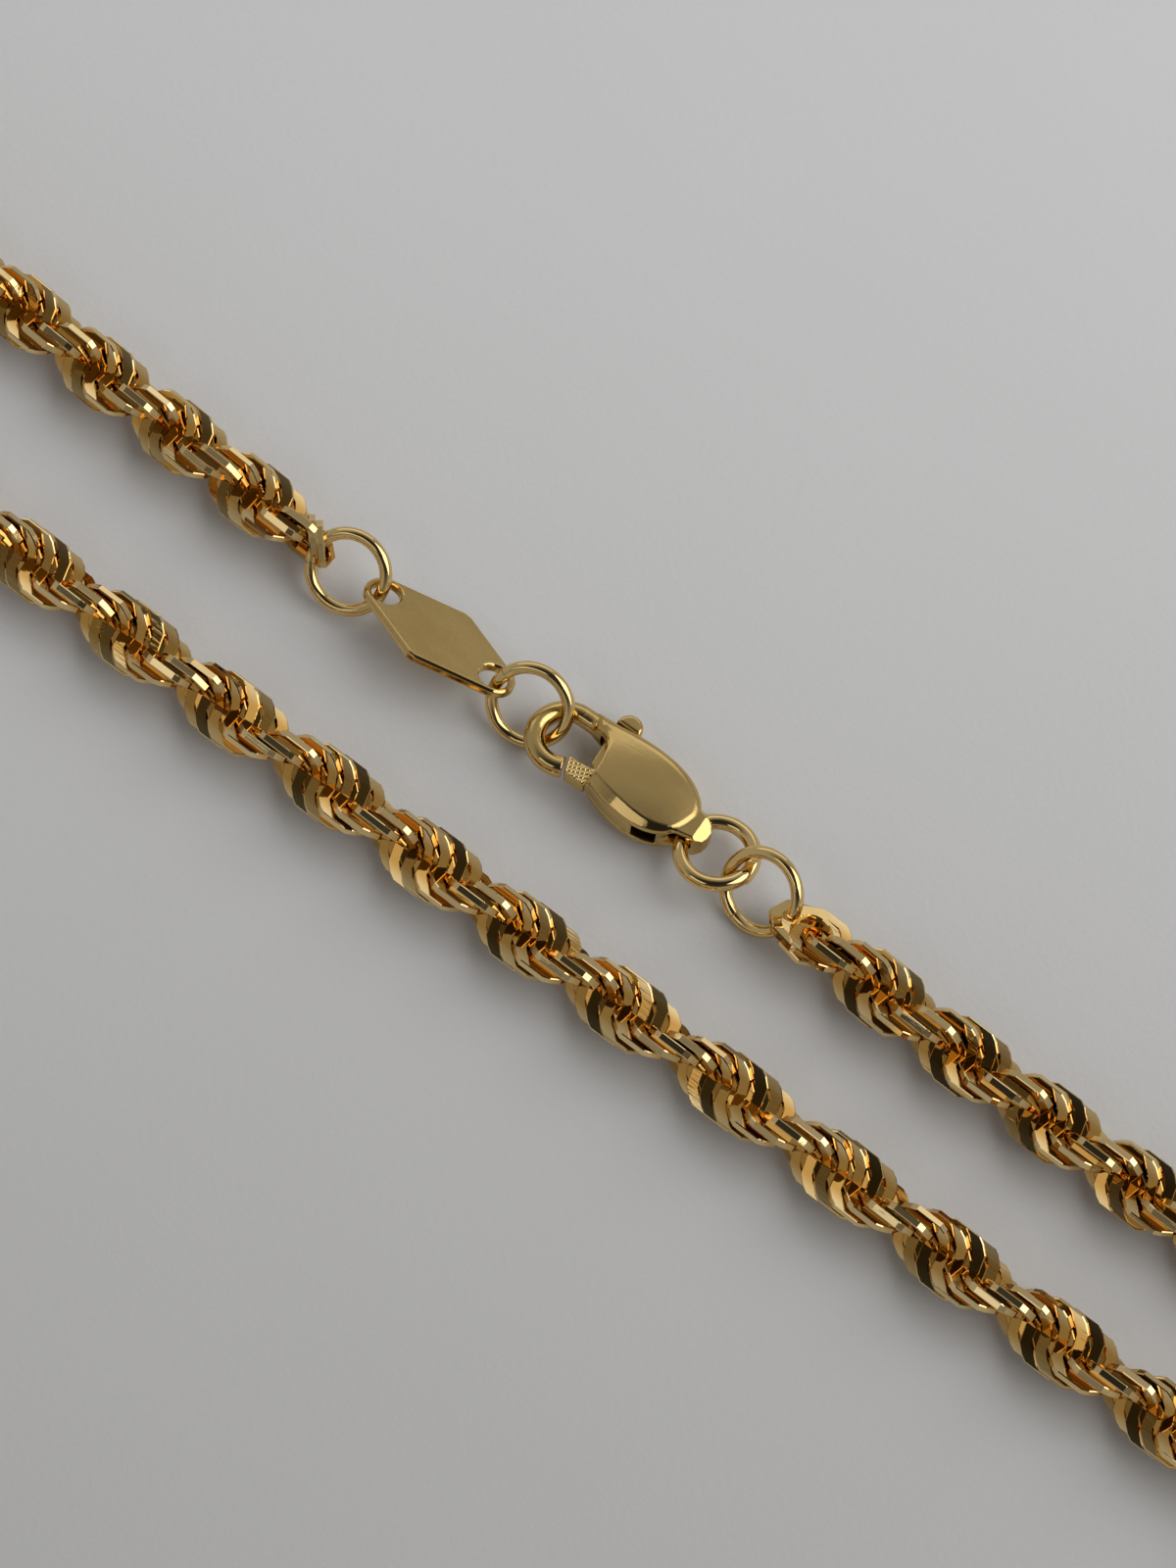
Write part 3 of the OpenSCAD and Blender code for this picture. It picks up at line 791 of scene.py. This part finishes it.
def lie_of(node):
    """Where a flat solid lies: its middle, with its flat axis up and its longest reach as the first axis."""
    low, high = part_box(node)
    centre = np.array((low + high) / 2)
    points = np.array([v.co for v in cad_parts[node].data.vertices]) - centre
    points = np.unique(points.round(8), axis=0)
    normal = np.linalg.svd(points, full_matrices=False)[2][2]
    normal *= math.copysign(1, normal[2])
    flat = points - np.outer(points @ normal, normal)
    reach = np.linalg.norm(flat, axis=1)
    far = flat[reach > reach.max() * .999]
    first = far[far[:, 0].argmax()]
    first /= np.linalg.norm(first)
    lie = Matrix.Identity(4)
    for column, axis in enumerate((first, np.cross(normal, first), normal)):
        for row in range(3):
            lie[row][column] = axis[row]
    lie.translation = Vector(centre)
    return lie


def open_ring(name, reach, wire, cut, cut_at, slip):
    """A ring of round wire, cut open where its ends stand a little apart. reach is its outer radius."""
    rounds, sides = 120, 28
    bend = reach - wire / 2
    half_cut = cut / 2 / bend
    loops = []
    for i in range(rounds + 1):
        share = i / rounds
        a = cut_at + half_cut + (2 * math.pi - 2 * half_cut) * share
        rise = slip * (share - .5)
        loop = []
        for j in range(sides):
            b = 2 * math.pi * j / sides
            r = bend + wire / 2 * math.cos(b)
            loop.append((r * math.cos(a), r * math.sin(a), rise + wire / 2 * math.sin(b)))
        loops.append(loop)
    return loops_mesh(name, loops, ring_closed=False, ends=True)


def smooth(mesh, degrees=40):
    """Shades a mesh round, with its sharp edges left sharp."""
    mesh.shade_smooth()
    mesh.set_sharp_from_angle(angle=math.radians(degrees))


class NECKLACE_OT_rings(bpy.types.Operator):
    """Close the three jump rings and the ring in the clasp's tail"""
    bl_idname = "necklace.rings"
    bl_label = "Rings"

    def execute(self, context):
        look = context.scene.ring_look
        rows = (("jump_ring_1", look.jump_wire, 200, .00006), ("jump_ring_2", look.jump_wire, 100, .00005),
                ("jump_ring_3", look.jump_wire, 250, .00006), ("tail_ring", look.tail_wire, 352, .0002))
        for node, wire, cut_at, slip in rows:
            lie = lie_of(node)
            points = np.array([lie.inverted() @ v.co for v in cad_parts[node].data.vertices])
            reach = float(np.hypot(points[:, 0], points[:, 1]).max())
            mesh = open_ring(node, reach, wire, look.cut, math.radians(cut_at), slip)
            mesh.transform(lie)
            smooth(mesh)
            keep(piece(node + "_wire", mesh, "polished"), "gold_polished", node)
        return {"FINISHED"}


def flat_link(look):
    """One flat end link, eight-sided outside and round inside, with a corner on its first axis."""
    half, far = look.thickness / 2, look.across / 2 / math.cos(math.pi / 8)
    loops, rounds = [], 48
    for i in range(rounds):
        a = 2 * math.pi * i / rounds
        side = (a + math.pi / 8) % (math.pi / 4) - math.pi / 8
        outer = look.across / 2 / math.cos(math.pi / 8 - abs(side)) if i % 6 else far
        rows = [(outer, -half + look.bevel), (outer, half - look.bevel), (outer - look.bevel, half),
                (look.hole + look.bevel, half), (look.hole, half - look.bevel), (look.hole, -half + look.bevel),
                (look.hole + look.bevel, -half), (outer - look.bevel, -half)]
        loops.append([(r * math.cos(a), r * math.sin(a), z) for r, z in rows])
    return loops_mesh("flat_link", loops)


def joined(name, meshes):
    """Several meshes as one."""
    work = bmesh.new()
    for mesh in meshes:
        work.from_mesh(mesh)
        bpy.data.meshes.remove(mesh)
    whole = bpy.data.meshes.new(name)
    work.to_mesh(whole)
    work.free()
    return whole


class NECKLACE_OT_end_links(bpy.types.Operator):
    """Hang a pair of flat links at each end of the rope"""
    bl_idname = "necklace.end_links"
    bl_label = "End links"

    def execute(self, context):
        look = context.scene.link_look
        # The twin's side and the share of the step to it, its lean, the pair's size and how far it is lifted
        rows = (("end_link_tag_side", (-.8, 0, 0), 0, .68, .00008),
                ("end_link_clasp_side", (1, 0, 0), 15, 1, 0))
        for node, way, lean, size, lift in rows:
            lie = lie_of(node) @ Matrix.Scale(size, 4, (1, 0, 0)) @ Matrix.Scale(size, 4, (0, 1, 0))
            lie = Matrix.Translation((0, 0, lift)) @ lie
            first = flat_link(look)
            first.transform(lie)
            twin = flat_link(look)
            aside = Matrix.Translation(Vector(way) * look.apart)
            turned = Matrix.Rotation(math.radians(lean), 4, "X") @ lie.to_3x3().to_4x4()
            twin.transform(aside @ Matrix.Translation(lie.translation) @ turned)
            mesh = joined(node, (first, twin))
            smooth(mesh, 20)
            keep(piece(node + "_pair", mesh, "polished"), "gold_cut", node)
        return {"FINISHED"}


class NECKLACE_OT_tag(bpy.types.Operator):
    """Cut the lozenge tag with its chamfered faces"""
    bl_idname = "necklace.tag"
    bl_label = "Tag"

    def execute(self, context):
        look = context.scene.tag_look
        half = Vector((look.pitch / 2 + look.hole / 2 + look.rim, look.width / 2, look.thickness / 2))
        half += Vector((1, 1, 1)) * look.skin * 3
        x, y, z = field_rows(-half, half, look.skin)
        mesh = skin_mesh("tag_plate", tag_field(look, x, y, z), -half, look.skin, lie_of("tag"))
        keep(piece("tag_plate", mesh, "satin"), "gold_satin", "tag")
        return {"FINISHED"}


class NECKLACE_OT_clasp(bpy.types.Operator):
    """Cast the lobster clasp's body and its lever"""
    bl_idname = "necklace.clasp"
    bl_label = "Clasp"

    def execute(self, context):
        look = context.scene.clasp_look
        # Each casting's shape, its body and the box that holds it, in the clasp's own frame
        rows = (("clasp_body", clasp_body_field, BODY,
                 (-.0002, -.0026, -.0015), (.0122, .0026, .0015)),
                ("clasp_lever", clasp_lever_field, LEVER_BODY,
                 (.0028, -.0025, -.0009), (.0087, .0034, .0009)))
        for node, field, body, low, high in rows:
            x, y, z = field_rows(low, high, look.skin)
            mesh = skin_mesh(node, field(look, x, y, z), low, look.skin, clasp_lie(look))
            keep(piece(node + "_casting", mesh, "satin"), "gold_satin", node, body=body)
        return {"FINISHED"}


# Lamps: name, turn and rise in degrees, distance, width and height in metres, and glow
LAMPS = (("window", 30, 42, .45, .46, .36, 2.1), ("shelf", 129, 32, .4, .5, .16, .55),
         ("lamp", -102, 50, .45, .24, .13, .75))

# Middle of the view, half the depth over which the floor's painted light fades to painted shade, and half the
# floor's width, in metres
VIEW_MIDDLE = (0, .00375, .002)
PAINTED_FLOOR_FADE = .07
FLOOR_REACH = 3

# The camera's own shadow in the room: where it starts and is full, as cosines, and the light left in it
SHADOW_FROM = .55
SHADOW_FULL = .93
SHADOW_LIGHT = .07

# Sensor height in millimetres, and the lens's reach in heights of the picture
SENSOR = 24
LENS_REACH = 5625 / 1600


class NECKLACE_OT_stage(bpy.types.Operator):
    """Lay the floor, hang the lights and set the camera"""
    bl_idname = "necklace.stage"
    bl_label = "Floor, light and camera"

    def execute(self, context):
        look = context.scene.stage_look
        floor_mesh = bpy.data.meshes.new("floor")
        corners = ((-1, -1), (1, -1), (1, 1), (-1, 1))
        floor_mesh.from_pydata([(u * FLOOR_REACH, v * FLOOR_REACH, 0) for u, v in corners],
                               [], [(0, 1, 2, 3)])
        floor = bpy.data.objects.new("floor", floor_mesh)
        context.scene.collection.objects.link(floor)
        paper = Finish("floor_paper", {"Roughness": .75, "Specular IOR Level": .2})
        # Painted light and shade: the floor's colour fades from the light colour at the top of the view to the
        # shaded one at its foot, with a little random mottling
        away = paper.node("ShaderNodeVectorMath", {"operation": "DOT_PRODUCT"},
                          {0: paper.place(), 1: (-math.sin(look.azimuth), math.cos(look.azimuth), 0)},
                          out="Value")
        share = paper.node("ShaderNodeMapRange", {"interpolation_type": "SMOOTHSTEP"},
                           {"Value": away, "From Min": -PAINTED_FLOOR_FADE, "From Max": PAINTED_FLOOR_FADE})
        share = share + (paper.noise(60, 3.0) - .5) * .08
        paper.feed(paper.blend(share, (*look.floor_painted_shade, 1), (*look.floor, 1)), paper.shader, "Base Color")
        paper.feed(paper.relief(paper.noise(2500, 3.0), .00002), paper.shader, "Normal")
        floor_mesh.materials.append(paper.material)

        target = Vector(VIEW_MIDDLE)
        back = Vector((math.sin(look.azimuth) * math.cos(look.elevation),
                       -math.cos(look.azimuth) * math.cos(look.elevation), math.sin(look.elevation)))
        world = bpy.data.worlds.new("studio")
        context.scene.world = world
        world.use_nodes = True
        room = Graph(world.node_tree)
        way = room.node("ShaderNodeTexCoord", out="Generated")
        towards = room.node("ShaderNodeVectorMath", {"operation": "DOT_PRODUCT"}, {0: way, 1: back},
                            out="Value")
        open_room = room.node("ShaderNodeMapRange", {"interpolation_type": "SMOOTHSTEP"},
                              {"Value": towards, "From Min": SHADOW_FROM, "From Max": SHADOW_FULL,
                               "To Min": look.room, "To Max": look.room * SHADOW_LIGHT})
        air = world.node_tree.nodes["Background"]
        air.inputs["Color"].default_value = (1, 1, 1, 1)
        room.feed(open_room, air, "Strength")
        for name, turn, rise, away, wide, high, glow in LAMPS:
            lamp = bpy.data.lights.new(name, "AREA")
            lamp.shape = "RECTANGLE"
            lamp.size = wide
            lamp.size_y = high
            lamp.energy = glow * wide * high * math.pi
            hung = bpy.data.objects.new(name, lamp)
            turn, rise = math.radians(turn), math.radians(rise)
            place = Vector((math.cos(turn) * math.cos(rise), math.sin(turn) * math.cos(rise), math.sin(rise)))
            hung.location = place * away
            hung.rotation_euler = place.to_track_quat("Z", "Y").to_euler()
            context.scene.collection.objects.link(hung)

        lens = bpy.data.cameras.new("camera")
        lens.sensor_fit = "VERTICAL"
        lens.sensor_height = SENSOR
        lens.lens = SENSOR * LENS_REACH
        lens.clip_start = .001
        camera = bpy.data.objects.new("camera", lens)
        camera.location = target + back * look.distance
        camera.rotation_euler = back.to_track_quat("Z", "Y").to_euler()
        context.scene.collection.objects.link(camera)
        context.scene.camera = camera
        context.scene.view_settings.view_transform = "Standard"
        return {"FINISHED"}


OPERATORS = (NECKLACE_OT_finishes, NECKLACE_OT_stage, NECKLACE_OT_rope, NECKLACE_OT_rings, NECKLACE_OT_end_links,
             NECKLACE_OT_tag, NECKLACE_OT_clasp)


class NECKLACE_PT_panel(bpy.types.Panel):
    """Lists the steps that build the necklace"""
    bl_idname = "NECKLACE_PT_panel"
    bl_label = "Rope chain necklace"
    bl_space_type = "VIEW_3D"
    bl_region_type = "UI"
    bl_category = "Necklace"

    def draw(self, context):
        for operator in OPERATORS:
            self.layout.operator(operator.bl_idname)


def register():
    for cls in (*SETTINGS.values(), *OPERATORS, NECKLACE_PT_panel):
        bpy.utils.register_class(cls)
    for name, cls in SETTINGS.items():
        setattr(bpy.types.Scene, name, bpy.props.PointerProperty(type=cls))


def unregister():
    for name in SETTINGS:
        delattr(bpy.types.Scene, name)
    for cls in reversed((*SETTINGS.values(), *OPERATORS, NECKLACE_PT_panel)):
        bpy.utils.unregister_class(cls)


def main():
    register()
    for operator in OPERATORS:
        getattr(bpy.ops.necklace, operator.bl_idname.split(".")[1])()
    bare = metal("satin")
    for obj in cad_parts.values():
        if not obj.hide_render:
            obj.data.materials.clear()
            obj.data.materials.append(bare)


if __name__ == "__main__":
    main()
